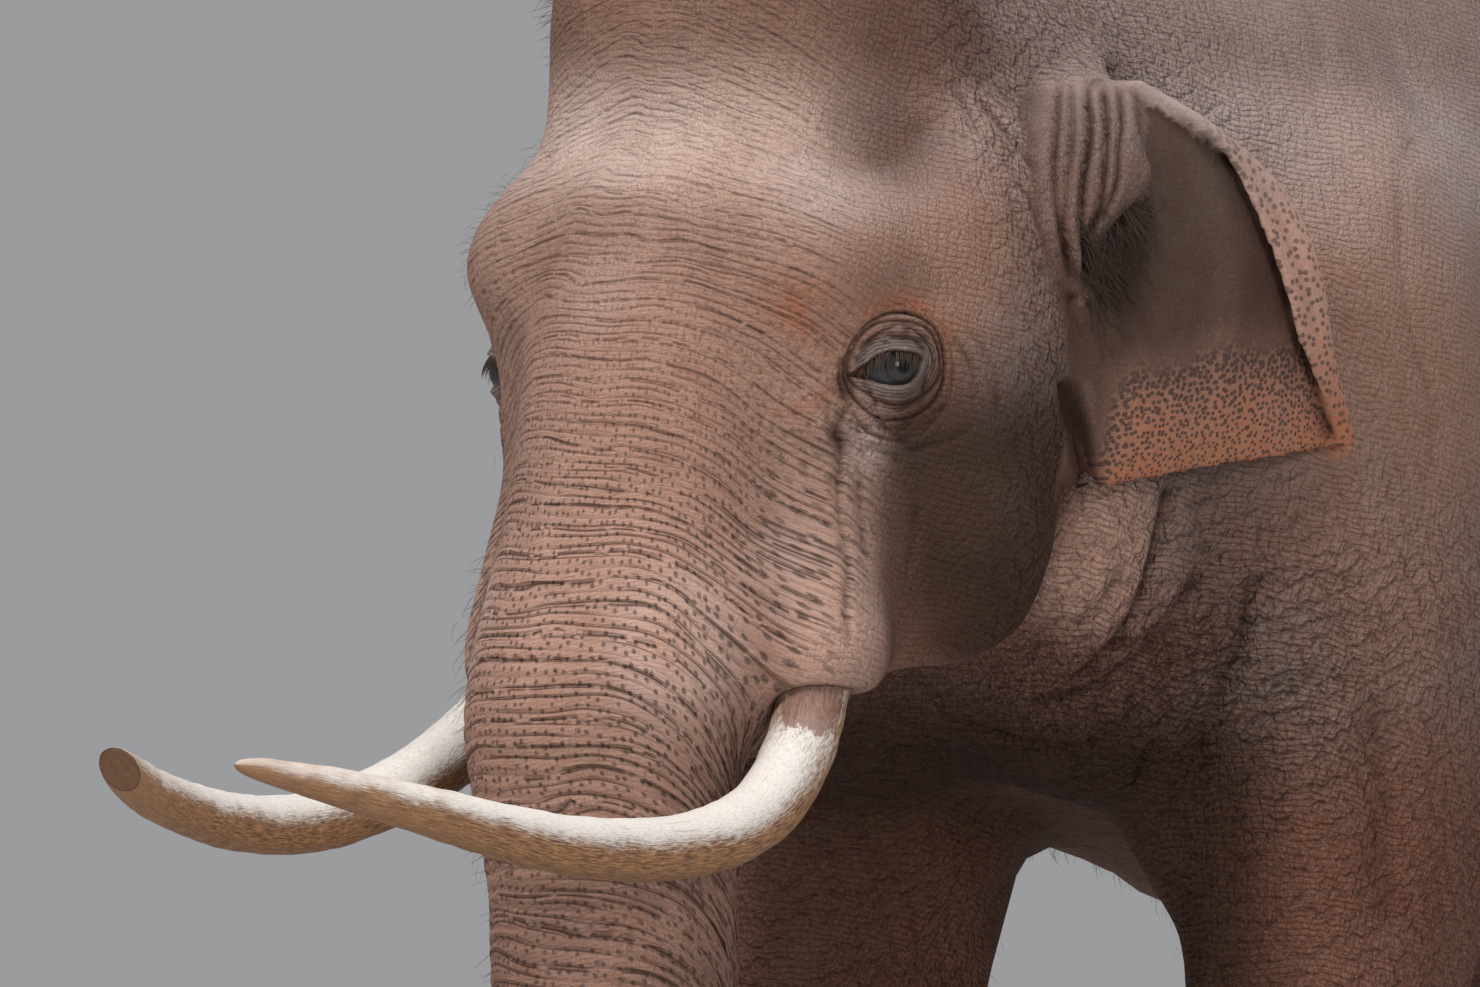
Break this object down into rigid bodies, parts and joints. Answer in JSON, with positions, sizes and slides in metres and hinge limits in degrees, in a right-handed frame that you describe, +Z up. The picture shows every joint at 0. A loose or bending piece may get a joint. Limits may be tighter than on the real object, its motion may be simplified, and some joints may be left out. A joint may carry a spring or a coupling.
{
  "type": "asian elephant bull",
  "caption": "Life-size still model of a standing adult Asian elephant bull with long tusks and its trunk hanging to the floor.",
  "frame": {"origin": "on the floor, below the middle of the bounding box", "axes": "+Z up, the elephant faces -Y and its left side is at +X"},
  "size_m": [1.3908, 4.4428, 2.7643],
  "materials": {
    "skin": "dry, deeply wrinkled reddish brown hide with dark follicle dots",
    "ear_skin": "dry grey brown hide, pink with dark freckles toward the margin",
    "ivory": "smooth satin ivory with brown stains and fine cracks",
    "eye": "wet, glossy dark brown",
    "nail": "dull, faintly ridged horn"
  },
  "bodies": {
    "root": {"body": "skin", "ear_left": "ear_skin", "ear_right": "ear_skin", "eye_left": "eye", "eye_right": "eye", "foot_front_left": "skin", "foot_front_right": "skin", "foot_hind_left": "skin", "foot_hind_right": "skin", "head": "skin", "leg_front_left": "skin", "leg_front_right": "skin", "leg_hind_left": "skin", "leg_hind_right": "skin", "lower_jaw": "skin", "nail_front_left_1": "nail", "nail_front_left_2": "nail", "nail_front_left_3": "nail", "nail_front_left_4": "nail", "nail_front_left_5": "nail", "nail_front_right_1": "nail", "nail_front_right_2": "nail", "nail_front_right_3": "nail", "nail_front_right_4": "nail", "nail_front_right_5": "nail", "nail_hind_left_1": "nail", "nail_hind_left_2": "nail", "nail_hind_left_3": "nail", "nail_hind_left_4": "nail", "nail_hind_right_1": "nail", "nail_hind_right_2": "nail", "nail_hind_right_3": "nail", "nail_hind_right_4": "nail", "neck": "skin", "tail_base": "skin", "tail_tip": "skin", "trunk_lower": "skin", "trunk_middle": "skin", "trunk_tip": "skin", "trunk_upper": "skin", "tusk_left": "ivory", "tusk_right": "ivory"}
  },
  "joints": []
}
